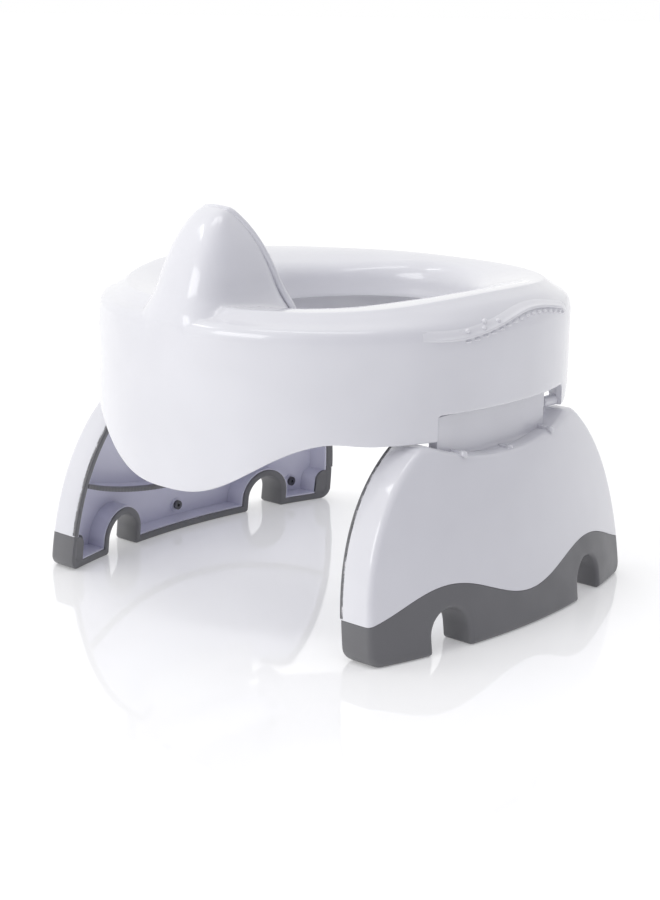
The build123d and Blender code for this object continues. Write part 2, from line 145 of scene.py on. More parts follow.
def finish_object(name, mesh, body, node, replaces, smooth):
    """Makes a mesh a piece that rides on a body, takes a CAD node's finish, and may stand for that node."""
    made = bmesh.new()
    made.from_mesh(mesh)
    bmesh.ops.recalc_face_normals(made, faces=made.faces)
    limit = math.radians(smooth)
    for face in made.faces:
        face.smooth = True
    for edge in made.edges:
        edge.smooth = len(edge.link_faces) != 2 or edge.calc_face_angle(0.0) < limit
    made.to_mesh(mesh)
    made.free()
    mesh.materials.clear()
    mesh.materials.append(FINISH[SLOT[node]])
    piece = bpy.data.objects.new(name, mesh)
    bpy.context.scene.collection.objects.link(piece)
    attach(piece, body)
    if replaces:
        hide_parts(node)
    return piece


def tube_faces(rows, around, base=0):
    """The side faces of a tube, whose points come in rows that are closed loops."""
    return [(base + i * around + j, base + i * around + (j + 1) % around,
             base + (i + 1) * around + (j + 1) % around, base + (i + 1) * around + j)
            for i in range(rows - 1) for j in range(around)]


def capped_tube(rows, around, base=0):
    """The faces of a tube with a flat cap at each end."""
    last = base + (rows - 1) * around
    caps = [tuple(range(base, base + around))[::-1], tuple(range(last, last + around))]
    return tube_faces(rows, around, base) + caps


def circle(count):
    """The cosine and sine at evenly spaced places round a circle."""
    turn = 2 * math.pi * np.arange(count) / count
    return np.cos(turn), np.sin(turn)


def arc_points(y, z, radius, start, end, count):
    angles = np.radians(np.linspace(start, end, count))
    return np.stack([y + radius * np.cos(angles), z + radius * np.sin(angles)], 1)


def way_along(points):
    """The length travelled along a line of points, at each of them."""
    return np.concatenate([[0], np.cumsum(np.linalg.norm(np.diff(points, axis=0), axis=1))])


def smoothstep(x, low, high):
    t = np.clip((x - low) / (high - low), 0.0, 1.0)
    return t * t * (3 - 2 * t)


def soft_max(a, b, radius):
    """The larger of two heights, with a fillet of about that size where they meet."""
    h = np.clip(0.5 + 0.5 * (a - b) / radius, 0.0, 1.0)
    return b + (a - b) * h + radius * h * (1 - h)


def curve_through(knots, values, at):
    """A smooth curve through knots that doesn't overshoot between them, held level past its ends."""
    knots, values = np.asarray(knots, float), np.asarray(values, float)
    steps = np.diff(values) / np.diff(knots)
    slope = np.zeros(len(knots))
    slope[0], slope[-1] = steps[0], steps[-1]
    for i in range(1, len(knots) - 1):
        if steps[i - 1] * steps[i] > 0:
            slope[i] = 2 * steps[i - 1] * steps[i] / (steps[i - 1] + steps[i])
    at = np.clip(at, knots[0], knots[-1])
    i = np.clip(np.searchsorted(knots, at) - 1, 0, len(knots) - 2)
    h = knots[i + 1] - knots[i]
    t = (at - knots[i]) / h
    return ((2 * t**3 - 3 * t**2 + 1) * values[i] + (t**3 - 2 * t**2 + t) * h * slope[i]
            + (-2 * t**3 + 3 * t**2) * values[i + 1] + (t**3 - t**2) * h * slope[i + 1])


# ---------------------------------------------------------------- the ring's outline and its stations

# How far apart the stations stand along the outline: (in front of this y, within this x, spacing)
FINE_ZONES = ((-60.0, 38.0, 0.62), (-40.0, 60.0, 1.5))
SPACING = 2.6
# Stations at each end of a notch, by how far inside it they stand, and how far off the others keep
NOTCH_STEPS = (-1.2, -0.4, -0.02, 0.02, 0.15, 0.5, 1.0, 1.6, 2.5)
STATION_GAP = 0.8
SIDE_X = 60.0
TURN_Y = 6.0


def ring_x(y, inset=0.0):
    """Half the ring's width at y."""
    y = np.asarray(y, float)
    front = y < RING_Y
    length = np.where(front, RING_FRONT, RING_BACK) - inset
    power = np.where(front, FRONT_POWER, BACK_POWER)
    ratio = np.clip(np.abs(y - RING_Y) / length, 0, 1)
    return (RING_HALF_WIDTH - inset) * (1 - ratio**power) ** (1 / power)


def dense_outline(count=7200):
    """The ring's outline, from the middle of the front round through +X, and its arc length."""
    angle = np.linspace(-math.pi / 2, 1.5 * math.pi, count + 1)
    cosine, sine = np.cos(angle), np.sin(angle)
    power = np.where(sine > 0, BACK_POWER, FRONT_POWER)
    length = np.where(sine > 0, RING_BACK, RING_FRONT)
    x = RING_HALF_WIDTH * np.sign(cosine) * np.abs(cosine) ** (2 / power)
    y = RING_Y + length * np.sign(sine) * np.abs(sine) ** (2 / power)
    points = np.stack([x, y], 1)
    return points, way_along(points)


OUT_POINTS, OUT_ARC = dense_outline()


def outline_at(arc):
    return np.stack([np.interp(arc, OUT_ARC, OUT_POINTS[:, k]) for k in (0, 1)], -1)


def side_arc(y):
    """Arc position of a place on the outline's right-hand side, given by its y."""
    right = OUT_POINTS[:, 0] > SIDE_X
    return np.interp(y, OUT_POINTS[right, 1], OUT_ARC[right])


NOTCH_ARC = [side_arc(LEG_Y + end * NOTCH_HALF_LENGTH) for end in (-1, 1)]


def station_spacing(x, y):
    for y_limit, x_limit, spacing in FINE_ZONES:
        if y < y_limit and abs(x) < x_limit:
            return spacing
    return SPACING


def stations():
    """Arc positions round the outline, with a close row of them at each end of each notch."""
    total = OUT_ARC[-1]
    half = [0.0]
    while half[-1] < total / 2:
        half.append(half[-1] + station_spacing(*outline_at(half[-1])))
    ends = [centre + inside * step for centre, inside in zip(NOTCH_ARC, (1, -1)) for step in NOTCH_STEPS]
    # the last is past the middle of the rear, and the one before it may stand too near to it
    keep = [a for a in half[:-2] if min(abs(a - end) for end in ends) > STATION_GAP]
    right = np.array(sorted(keep + ends + [total / 2]))
    left = total - right[1:-1][::-1]
    return np.concatenate([right, left])


ARC = stations()
OUTER = outline_at(ARC)
TURN = np.arctan2((OUTER[:, 1] - TURN_Y) / RING_BACK, OUTER[:, 0] / RING_HALF_WIDTH)
INNER = np.stack([OPENING_HALF_WIDTH * np.cos(TURN), OPENING_Y + OPENING_HALF_LENGTH * np.sin(TURN)], 1)
WIDTH = np.linalg.norm(INNER - OUTER, axis=1)


# ---------------------------------------------------------------- seat shell

# Skirt: the nose's bluntness, the front edge's dip over a stretch of y, the rear's ramp, the notch's corners
NOSE_POWER = 1.5
FRONT_DIP, FRONT_DIP_Y = 1.7, (-95.0, -75.0)
REAR_RAMP_Y = (60.0, 72.0)
NOTCH_CORNER = 2.5

# Section across the ring: its outer edge as (inset, height), then a crest and a slope to the opening's rim.
# A narrow stretch of the ring has less of that slope, in proportion to its width, down to a least share.
EDGE = ((0.0, 146.5), (0.35, 149.2), (1.2, 151.6), (2.8, 153.9), (5.0, 156.0), (8.5, 158.8), (13.0, 161.6))
CREST_IN, CREST_Z, CREST_POWER = 15.0, 162.7, 1.8
RIM_Z, FULL_SLOPE_WIDTH, LEAST_SLOPE = 152.5, 36.0, 0.45
USUAL_WIDTH = 54.0

# Saddle: how far the top is raised or lowered along y, fading in from the outer edge
SADDLE_Y = (-125.0, -95.0, -62.0, -30.0, 0.0, 30.0, 60.0, 90.0, 125.0)
SADDLE_Z = (-3.4, -3.2, -1.8, 0.6, 1.6, 1.2, -0.4, -2.0, -2.6)
SADDLE_IN = 9.0

# Splash guard: its horizontal sections as (height, half width, front, rear), each two half superellipses
GUARD_SECTIONS = (
    (140.0, 31.0, -122.8, -56.0), (150.0, 30.0, -121.8, -58.0), (155.0, 29.0, -120.2, -59.5),
    (159.0, 26.6, -118.2, -60.7), (163.0, 24.4, -116.0, -62.0), (168.0, 22.6, -113.9, -63.7),
    (173.0, 21.4, -111.9, -65.5), (179.0, 19.7, -109.3, -67.9), (186.0, 17.6, -105.6, -71.4),
    (193.0, 14.6, -101.0, -75.6), (199.0, 11.4, -95.5, -80.4), (202.0, 8.8, -91.6, -83.4),
    (GUARD_TOP, 4.5, -88.5, -85.6))
GUARD_Z, GUARD_HALF, GUARD_FRONT, GUARD_REAR = np.transpose(GUARD_SECTIONS)
GUARD_FRONT_POWER, GUARD_REAR_POWER = 2.9, 6.0
GUARD_REAR_SHARE, GUARD_REAR_DEPTH = 0.42, 20.0
GUARD_LEAST_HALF = 0.3
GUARD_LOW, NO_GUARD = 141.0, 100.0
GUARD_ZONE_Y, GUARD_ZONE_X = -50.0, 34.0
GUARD_FILLET = 2.4

# Outside: the skirt's lower edge as (inset, rise), shares of the way up the wall, and insets over the edge
SKIRT_EDGE = ((1.0, 0.0), (0.45, 0.12), (0.12, 0.45), (0.0, 1.0))
WALL_SHARES, WALL_TOP = (0.06, 0.14, 0.25, 0.4, 0.55, 0.7, 0.83, 0.93), 143.5
EDGE_STEPS = (0.0, 0.12, 0.35, 0.7, 1.2, 1.9, 2.8, 3.8, 5.0)
ACROSS_STEP = 0.7
# How many lines run across the top, round the roll and under the top
ACROSS_ROWS, ROLL_ROWS, UNDER_ROWS = 70, 12, 46

# Opening: the roll into the collar, the collar's taper, and its lower edge as (past the opening, rise)
ROLL_IN, ROLL_LEAST, ROLL_MOST = 11.0, 0.1, 0.6
COLLAR_STRAIGHT, COLLAR_TAPER, COLLAR_FALL = 5.5, 0.8, 4.7
COLLAR_EDGE = ((0.6, 0.15), (0.2, 0.0), (-1.2, 0.0), (-1.8, 0.5))

# Inside: the top's wall, and where its underside runs down into the collar
TOP_WALL, UNDER_LEAST_IN = 3.2, 4.0
COLLAR_ROOT, COLLAR_ROOT_IN = 12.0, (14.0, 2.0)
INNER_WALL_TOP, INNER_WALL_RISE, INNER_LIP_IN = 148.0, 0.6, 2.6


def skirt_bottom():
    """Height of the skirt's lower edge at each station: nose, sides, and notches with rounded corners."""
    x, y = OUTER[:, 0], OUTER[:, 1]
    share = ((1 - np.cos(math.pi * np.clip(np.abs(x) / NOSE_HALF_WIDTH, 0, 1))) / 2) ** NOSE_POWER
    rear = SKIRT_BOTTOM + (REAR_BOTTOM - SKIRT_BOTTOM) * smoothstep(y, *REAR_RAMP_Y)
    front = NOSE_BOTTOM + (SKIRT_BOTTOM - NOSE_BOTTOM) * share - FRONT_DIP * smoothstep(y, *FRONT_DIP_Y)
    z = np.where(y < RING_Y, front, rear)
    total = OUT_ARC[-1]
    along = np.where(ARC > total / 2, total - ARC, ARC)
    inside = np.minimum(along - NOTCH_ARC[0], NOTCH_ARC[1] - along)
    short = NOTCH_CORNER - np.clip(inside, 0, NOTCH_CORNER)
    dip = NOTCH_CORNER - np.sqrt(np.clip(NOTCH_CORNER**2 - short**2, 0, None))
    return np.where(inside > 0, NOTCH_TOP - dip, z)


def section(inset, width):
    """Height across the ring: up over the edge to the crest, then down to the opening's rim."""
    at = [p[0] for p in EDGE] + [CREST_IN, CREST_IN + 5]
    values = [p[1] for p in EDGE] + [CREST_Z, CREST_Z]
    rise = curve_through(at, values, inset)
    past = np.clip((inset - CREST_IN) / (width - CREST_IN), 0, 1.2)
    drop = (CREST_Z - RIM_Z) * np.clip((width - CREST_IN) / FULL_SLOPE_WIDTH, LEAST_SLOPE, 1.0)
    return np.where(inset < CREST_IN, rise, CREST_Z - drop * past**CREST_POWER)


def crown(inset, width, y):
    """Height of the ring's top: its section on a gentle saddle, lowest at the front and the back."""
    saddle = curve_through(SADDLE_Y, SADDLE_Z, y)
    return section(inset, width) + saddle * smoothstep(inset, 0.0, SADDLE_IN)


def guard_inside(x, y, z, shrink):
    """Positive inside the guard's horizontal section at height z."""
    half = np.maximum(curve_through(GUARD_Z, GUARD_HALF, z) - shrink, GUARD_LEAST_HALF)
    front = curve_through(GUARD_Z, GUARD_FRONT, z) + shrink
    rear = curve_through(GUARD_Z, GUARD_REAR, z) - shrink
    middle = rear - np.minimum(GUARD_REAR_SHARE * (rear - front), GUARD_REAR_DEPTH)
    along = np.where(y < middle, (y - middle) / (middle - front), (y - middle) / (rear - middle))
    power = np.where(y < middle, GUARD_FRONT_POWER, GUARD_REAR_POWER)
    return 1 - (np.abs(along) ** power + (np.abs(x) / half) ** power)


def guard_height(x, y, shrink=0.0):
    """Height of the guard's surface over each point of the plan, or a low value away from the guard."""
    low = np.full(x.shape, GUARD_LOW)
    high = np.full(x.shape, GUARD_TOP - 0.01 - shrink)
    for _ in range(26):
        middle = (low + high) / 2
        within = guard_inside(x, y, middle + shrink, shrink) > 0
        low = np.where(within, middle, low)
        high = np.where(within, high, middle)
    near = (y < GUARD_ZONE_Y) & (np.abs(x) < GUARD_ZONE_X) & (low >= GUARD_LOW + 0.01)
    return np.where(near, low, NO_GUARD)


def plan(inset):
    """Where each station's line stands, at an inset from the outline towards the opening."""
    return OUTER + (INNER - OUTER) * (inset / WIDTH)[:, None]


def top_height(inset):
    """Height of the seat's outer surface at an inset: the ring's top, with the guard standing on it."""
    x, y = plan(inset).T
    base = crown(inset, WIDTH, y)
    return np.maximum(soft_max(guard_height(x, y), base, GUARD_FILLET), base)


def under_height(inset):
    """Height of the top's underside at an inset, with the guard's hollow and the run down into the collar."""
    x, y = plan(inset).T
    start, end = (WIDTH - distance for distance in COLLAR_ROOT_IN)
    height = crown(np.clip(inset, UNDER_LEAST_IN, None), WIDTH, y) - TOP_WALL
    return np.maximum(height - COLLAR_ROOT * smoothstep(inset, start, end), guard_height(x, y, WALL))


def seat_shell():
    """One moulding of closed lines: up the outside, over the top, down the collar, and back under the top."""
    bottom = skirt_bottom()
    one = np.ones(len(ARC))
    rows = []

    def row(inset, height):
        """One closed line round the shell: inset and height for every station."""
        rows.append(np.column_stack([plan(inset * one), height * one]))

    # outer wall, from its lower edge up
    for inset, rise in SKIRT_EDGE:
        row(inset, bottom + rise)
    for share in WALL_SHARES:
        row(0.0, (bottom + SKIRT_EDGE[-1][1]) * (1 - share) + WALL_TOP * share)
    # over the edge and across the top towards the opening
    for step in EDGE_STEPS:
        row(step, top_height(step * one))
    edge = EDGE_STEPS[-1]
    for step in np.linspace(edge + ACROSS_STEP, USUAL_WIDTH, ACROSS_ROWS):
        inset = edge + (WIDTH - ROLL_IN - edge) * (step - edge) / (USUAL_WIDTH - edge)
        row(inset, top_height(inset))
    # roll over into the collar and down it
    rim_z = rows[-1][:, 2]
    slope = np.clip((rows[-2][:, 2] - rim_z) / ACROSS_STEP, ROLL_LEAST, ROLL_MOST)
    collar_top = COLLAR_BOTTOM + COLLAR_STRAIGHT
    for t in np.linspace(0.1, 1.0, ROLL_ROWS):
        height = (1 - t) ** 2 * rim_z + 2 * t * (1 - t) * (rim_z - slope * ROLL_IN) + t * t * collar_top
        row(WIDTH - ROLL_IN * (1 - t) ** 2, height)
    for share in (0.35, 0.7, 1.0):
        row(WIDTH + COLLAR_TAPER * share, collar_top - COLLAR_FALL * share)
    for past, rise in COLLAR_EDGE:
        row(WIDTH + past, COLLAR_BOTTOM + rise)
    # up the hidden side of the collar, under the top, and down inside the skirt
    for step in np.linspace(1.0, 0.0, UNDER_ROWS):
        inset = WALL + (WIDTH - 2 * WALL) * step
        row(inset, under_height(inset))
    for share in (0.5, 1.0):
        row(WALL, INNER_WALL_TOP * (1 - share) + (bottom + INNER_WALL_RISE) * share)
    row(INNER_LIP_IN, bottom)
    index = np.arange(len(rows) * len(ARC)).reshape(len(rows), len(ARC))
    after = np.roll(index, -1, axis=1)
    above, above_after = (np.roll(line, -1, axis=0) for line in (index, after))
    faces = np.stack([index, after, above_after, above], -1).reshape(-1, 4).tolist()
    make_object("seat_shell_moulding", np.vstack(rows), faces, SEAT, "seat_shell")


# Bead round the back of the guard: its radius, its heights, and how it is set in from the guard's outline
BEAD_RADIUS, BEAD_SIDES, BEAD_STATIONS = 1.75, 12, 120
BEAD_Z = (*np.linspace(151.0, 196.0, 24), 198.5, 200.5, 202.0)
BEAD_HALF_SHARE, BEAD_SIDE_IN, BEAD_REAR_IN = 0.955, 0.35, 1.7
BEAD_OVER = np.array([(5.2, -86.1, 202.5), (2.6, -86.7, 202.85), (0.0, -86.9, 202.95)])


def guard_bead():
    """The rolled edge round the back of the splash guard, from the ring up over its top and down again."""
    half = curve_through(GUARD_Z, GUARD_HALF, BEAD_Z) * BEAD_HALF_SHARE - BEAD_SIDE_IN
    rear = curve_through(GUARD_Z, GUARD_REAR, BEAD_Z) - BEAD_REAR_IN
    right = np.vstack([np.stack([half, rear, BEAD_Z], 1), BEAD_OVER])
    path = np.vstack([right, right[:-1][::-1] * [-1, 1, 1]])
    way = way_along(path)
    at = np.linspace(0, way[-1], BEAD_STATIONS)
    path = np.stack([curve_through(way, path[:, k], at) for k in range(3)], 1)
    along = np.gradient(path, axis=0)
    along /= np.linalg.norm(along, axis=1, keepdims=True)
    points = []
    for place, ahead in zip(path, along):
        aside = np.cross(ahead, [0.0, 1.0, 0.0])
        aside /= np.linalg.norm(aside)
        rise = np.cross(ahead, aside)
        points += [place + BEAD_RADIUS * (c * aside + s * rise) for c, s in zip(*circle(BEAD_SIDES))]
    faces = capped_tube(BEAD_STATIONS, BEAD_SIDES)
    make_object("guard_bead", points, faces, SEAT, "seat_shell", replaces=False, smooth=60.0)


# Pivot lug: its plate as (x, z), from the skirt's wall in, and its thickness as (way out of the notch, size)
LUG_LOW, LUG_TOP, LUG_IN, LUG_GAP = 100.6, 147.0, 1.2, 0.05
LUG_INNER_EDGE = ((93.5, LUG_TOP), (97.6, 124.0), (99.6, 108.0))
LUG_EYE = 2.9
LUG_SLICES = ((0.0, 0.975), (0.5, 1.0), (4.4, 1.0), (5.0, 0.97))
# Sleeve round the hinge pin, as (way out of the notch, radius). The rear one is longer, because the tongue
# ends sooner there.
SLEEVE_SIDES = 24
SLEEVES = {"front": ((0.6, 2.85), (-1.0, 2.7), (-1.6, 2.35), (-1.8, 1.9)),
           "rear": ((0.6, 2.85), (-7.5, 2.7), (-10.2, 2.35), (-10.5, 1.9))}


def pivot_lug(side_name, side, end_name, end):
    """A lug at one end of the notch: a plate that widens upwards, with a sleeve round the hinge pin."""
    near = LEG_Y + end * (NOTCH_HALF_LENGTH - LUG_GAP)
    out = float(ring_x(near + end * LUG_SLICES[-1][0])) - LUG_IN
    eye = arc_points(HINGE_X, HINGE_Z, LUG_EYE, 170, 280, 12)
    outline = np.vstack([[(out, LUG_LOW), (out, LUG_TOP)], LUG_INNER_EDGE, eye])
    centre = outline.mean(0)
    points = []
    for step, size in LUG_SLICES:
        points += [(x * side, near + end * step, z) for x, z in centre + (outline - centre) * size]
    faces = capped_tube(len(LUG_SLICES), len(outline))
    faces += capped_tube(len(SLEEVES[end_name]), SLEEVE_SIDES, len(points))
    for step, radius in SLEEVES[end_name]:
        points += [((HINGE_X + radius * c) * side, near + end * step, HINGE_Z + radius * s)
                   for c, s in zip(*circle(SLEEVE_SIDES))]
    make_object("pivot_lug_%s_%s" % (side_name, end_name), points, faces, SEAT, "seat_shell", replaces=False)


# ---------------------------------------------------------------- grip strips on the ring's edge

# Ends and lip, with y taken from the hinge's middle: the lip swings from low to high over a half wave
STRIP_FRONT, STRIP_BACK = -60.0, 54.0
LIP_MIDDLE, LIP_SWING, LIP_LOW_Y, LIP_HALF_WAVE = 150.3, 3.8, -45.0, 63.0
# Section as (way up from the lip, lift off the surface), and how many stations each end takes to fade in
STRIP_SECTION = ((0.0, -0.35), (-0.25, 0.2), (-0.3, 0.8), (-0.05, 1.35), (0.45, 1.55), (0.95, 1.35),
                 (1.35, 0.9), (2.0, 0.58), (3.2, 0.32), (4.8, 0.08), (5.6, -0.3))
STRIP_STATIONS, STRIP_FADE, STRIP_END_LIFT = 150, 14, 0.03
# Nubs: section as (spread, share of the lift), size as (half length along, half height, lift), and places
NUB_SIDES = 10
NUB_SECTION = ((1.0, -0.25), (0.92, 0.35), (0.68, 0.75), (0.36, 0.95))
STITCH_SIZE, TOP_NUB_SIZE = (2.0, 0.8, 1.0), (1.6, 1.25, 1.5)
STITCH_SPACING, STITCH_START, STITCH_END, STITCH_BELOW = 5.6, 26.0, 4.0, 1.8
TOP_NUBS = ((-35.8, 3.4), (-25.4, 2.4), (-23.6, 5.2), (-14.3, 2.6))
# The stretch of the ring's outer section that is followed, and how far ahead its directions are taken
PROFILE_LOW, PROFILE_IN = 140.0, 24.0
LOOK_ALONG, LOOK_UP = 0.5, 0.6


def edge_profile():
    """The ring's outer section, up its wall and over its edge: inset, height, and the way up."""
    wall = np.linspace(PROFILE_LOW, EDGE[0][1], 60)
    over = np.linspace(0.0, PROFILE_IN, 500)[1:]
    profile = np.column_stack([np.concatenate([np.zeros(len(wall)), over]),
                               np.concatenate([wall, section(over, USUAL_WIDTH)])])
    return profile[:, 0], profile[:, 1], way_along(profile)


PROFILE_INSET, PROFILE_Z, PROFILE_WAY = edge_profile()


def way_up(z):
    """The way up the section to a height on its rising part."""
    rising = PROFILE_INSET < CREST_IN
    return np.interp(z, PROFILE_Z[rising], PROFILE_WAY[rising])


def on_profile(way):
    return np.interp(way, PROFILE_WAY, PROFILE_INSET), np.interp(way, PROFILE_WAY, PROFILE_Z)


def on_edge(arc, way, lift):
    """Points above the ring's surface: along the outline, up the section, and lifted off it."""
    here = outline_at(arc)
    along = outline_at(arc + LOOK_ALONG) - here
    along /= np.linalg.norm(along, axis=-1, keepdims=True)
    out = np.stack([along[..., 1], -along[..., 0]], -1)
    inset, height = on_profile(way)
    (inset_above, z_above), (inset_below, z_below) = on_profile(way + LOOK_UP), on_profile(way - LOOK_UP)
    run, rise = inset_above - inset_below, z_above - z_below
    size = np.hypot(run, rise)
    saddle = crown(inset, USUAL_WIDTH, here[..., 1]) - section(inset, USUAL_WIDTH)
    flat = here - out * (inset - rise / size * lift)[..., None]
    return np.concatenate([flat, (height + saddle + run / size * lift)[..., None]], -1)


def strip_lip(y):
    """The way up to the strip's lower edge, with y taken from the hinge's middle."""
    return way_up(LIP_MIDDLE - LIP_SWING * np.cos(math.pi * (y - LIP_LOW_Y) / LIP_HALF_WAVE))


def nub(arc, way, size, base):
    """The points and faces of a small rounded bead on the ring's surface, numbered from base."""
    half_along, half_up, lift = size
    cosine, sine = circle(NUB_SIDES)
    rings = [on_edge(arc + half_along * spread * cosine, way + half_up * spread * sine,
                     np.full(NUB_SIDES, lift * rise)) for spread, rise in NUB_SECTION]
    points = np.vstack([*rings, on_edge(np.array([arc]), np.array([way]), np.array([lift]))])
    last = base + (len(NUB_SECTION) - 1) * NUB_SIDES
    faces = capped_tube(len(NUB_SECTION), NUB_SIDES, base)[:-1]
    faces += [(last + j, last + (j + 1) % NUB_SIDES, last + NUB_SIDES) for j in range(NUB_SIDES)]
    return points, faces


def grip_strip(name, side):
    """A soft skin on the ring's edge: a rolled wavy lip, a stitched row of nubs below it and a few on top."""
    first, last = side_arc(np.array([STRIP_FRONT, STRIP_BACK]) + LEG_Y)
    along = np.linspace(first, last, STRIP_STATIONS)
    start = strip_lip(outline_at(along)[:, 1] - LEG_Y)
    station = np.arange(STRIP_STATIONS)
    fade = np.minimum(smoothstep(station, 0, STRIP_FADE), smoothstep(station[::-1], 0, STRIP_FADE))
    fade = STRIP_END_LIFT + (1 - STRIP_END_LIFT) * fade
    rows = [on_edge(along, start + up, lift * (fade if lift > 0 else np.ones(STRIP_STATIONS)))
            for up, lift in STRIP_SECTION]
    points = np.stack(rows, 1).reshape(-1, 3)
    faces = capped_tube(STRIP_STATIONS, len(STRIP_SECTION))
    stitches = np.arange(first + STITCH_START, last - STITCH_END, STITCH_SPACING)
    below = strip_lip(outline_at(stitches)[:, 1] - LEG_Y) - STITCH_BELOW
    places = [(arc, way, STITCH_SIZE) for arc, way in zip(stitches, below)]
    places += [(side_arc(y + LEG_Y), strip_lip(y) + up, TOP_NUB_SIZE) for y, up in TOP_NUBS]
    for place in places:
        nub_points, nub_faces = nub(*place, len(points))
        points = np.vstack([points, nub_points])
        faces += nub_faces
    points = points * [side, 1, 1]
    make_object("grip_strip_skin_" + name, points, faces, SEAT, "grip_strip_" + name, smooth=50.0)


# ---------------------------------------------------------------- legs, built flat and then bent to shape

# Flat space is (depth from the outer face, y from the leg's middle, z)
FOOT_X, LEAN, LEAN_CURVE, PLAN_RADIUS = 131.9, 0.108, 0.0008, 332.0
LEG_DEPTH, LEG_SKIN, LEG_RIM, LEG_ROUND = 18.0, 2.6, 4.0, 2.6
ARCH_HALF, ARCH_HEIGHT, ARCH_POWER = 104.5, 112.0, 2.4
HORN_LOW, LEG_TOP, TIP_BLUNT = 80.0, 97.0, 2.6
LEDGE_OUT = 1.5
FOOT_NOTCH_Y, FOOT_NOTCH_RADIUS, FOOT_NOTCH_TOP = 57.5, 11.8, 20.5
SOLE_Y = (14.0, 30.0)
TOE_RADIUS, TOE_LEAST, HEEL_RADIUS, HEEL_LEAST = 1.8, 0.25, 6.5, 0.6
WAVE_MIDDLE, WAVE_HEIGHT, WAVE_LENGTH = 25.3, 7.0, 116.0
WAVE_REACH, WAVE_ABOVE, WAVE_BELOW, WAVE_DEPTHS = 112.0, 130.0, -12.0, (-6.0, 30.0)
EAR_Y, EAR_RADIUS, EAR_TOP, EAR_LOW, EAR_WALL_LOW, EAR_OUT_Y = 94.0, 5.5, 18.5, 3.0, 8.0, 99.5
EAR_OVERLAP = 0.6
TRIM_THICKNESS = 1.5
SEAM = 0.12
# Points along the arch and the ledge before and after the horn's tip is blunted, and on the tip
ARCH_COUNTS, LEDGE_COUNTS, TIP_COUNT = (50, 44), (46, 40), 8
# Planes that cut large faces so that they can bend: (axis, first, end), and how far apart they are
BEND_PLANES, BEND_STEP = ((1, -104, 104), (2, 2, 110)), 4.0


def arch_y(z, inset):
    ratio = np.clip(np.maximum(z, 0) / (ARCH_HEIGHT - inset), 0, 1)
    return (ARCH_HALF - inset) * (1 - ratio**ARCH_POWER) ** (1 / ARCH_POWER)


def ledge_z(y):
    """Height of the crescent ledge, with y taken from the leg's middle."""
    return HINGE_Z - (ring_x(y + LEG_Y) + LEDGE_OUT - HINGE_X) / math.sin(FOLD_OUT)


def wave_z(y):
    return WAVE_MIDDLE - WAVE_HEIGHT * np.cos(2 * math.pi * y / WAVE_LENGTH)


def horn(end, inset):
    """Height at which the arch meets the ledge on one side, or the leg's top if that is lower."""
    low, high = HORN_LOW, ARCH_HEIGHT - 1.0 - inset
    for _ in range(40):
        middle = (low + high) / 2
        if ledge_z(end * arch_y(middle, inset)) - inset > middle:
            low = middle
        else:
            high = middle
    return min(low, LEG_TOP - inset)


def resampled(points, keep, count):
    """The kept points of a line, drawn again with a fixed count."""
    at = np.linspace(0, 1, keep.sum())
    return np.stack([np.interp(np.linspace(0, 1, count), at, points[keep, k]) for k in (0, 1)], 1)


def half_outline(end, inset):
    """One side of the leg's outline from its middle: sole, foot notch, heel, arch, blunted tip and ledge."""
    radius = FOOT_NOTCH_RADIUS + inset
    toe = max(TOE_RADIUS - inset, TOE_LEAST)
    heel = max(HEEL_RADIUS - inset, HEEL_LEAST)
    wall = float(arch_y(inset + heel, inset))
    foot = [[(y, inset) for y in SOLE_Y],
            arc_points(FOOT_NOTCH_Y - radius - toe, inset + toe, toe, -90, 0, 5),
            arc_points(FOOT_NOTCH_Y, FOOT_NOTCH_TOP - FOOT_NOTCH_RADIUS, radius, 180, 0, 25),
            arc_points(FOOT_NOTCH_Y + radius + toe, inset + toe, toe, 180, 270, 5),
            arc_points(wall - heel, inset + heel, heel, -90, -4, 8)]
    low = inset + heel
    heights = low + (horn(end, inset) - low) * np.linspace(0.02, 1.0, ARCH_COUNTS[0])
    arch = np.stack([arch_y(heights, inset), heights], 1)
    corner = arch[-1]
    across = np.linspace(corner[0], 0.0, LEDGE_COUNTS[0])
    ledge = np.stack([across, np.minimum(ledge_z(end * across), LEG_TOP) - inset], 1)
    ways = (arch[-6] - corner, ledge[4] - ledge[0])
    cut_arch, cut_ledge = (corner + way / np.linalg.norm(way) * TIP_BLUNT for way in ways)
    t = np.linspace(0, 1, TIP_COUNT)[:, None]
    tip = (1 - t) ** 2 * cut_arch + 2 * t * (1 - t) * corner + t * t * cut_ledge
    arch = resampled(arch, np.linalg.norm(arch - corner, axis=1) > TIP_BLUNT, ARCH_COUNTS[1])
    ledge = resampled(ledge, np.abs(across - corner[0]) > TIP_BLUNT, LEDGE_COUNTS[1])
    return np.vstack([*foot, arch, tip, ledge])


def leg_outline(inset):
    """The leg's outline seen from outside, moved in by inset. Every inset gives the same number of points."""
    right = half_outline(1, inset)
    left = half_outline(-1, inset) * [-1, 1]
    return np.vstack([[(0.0, inset)], right, left[:-1][::-1]])


def bent(points, side):
    """From flat space to the row frame: leaning, bent to the plan radius, and mirrored for the left."""
    depth, y, z = np.asarray(points, float).T
    x = FOOT_X - LEAN * z - LEAN_CURVE * z * z - (PLAN_RADIUS - np.sqrt(PLAN_RADIUS**2 - y * y)) - depth
    return np.stack([x * side, y + LEG_Y, z], 1)


def flat_mesh(name, rings):
    """A closed solid from rings of (depth, outline), in flat space and millimetres."""
    count = len(rings[0][1])
    points = np.vstack([np.column_stack([np.full(count, depth), outline]) for depth, outline in rings])
    mesh = bpy.data.meshes.new(name)
    mesh.from_pydata(points.tolist(), [], capped_tube(len(rings), count))
    made = bmesh.new()
    made.from_mesh(mesh)
    bmesh.ops.recalc_face_normals(made, faces=made.faces)
    made.to_mesh(mesh)
    made.free()
    return mesh


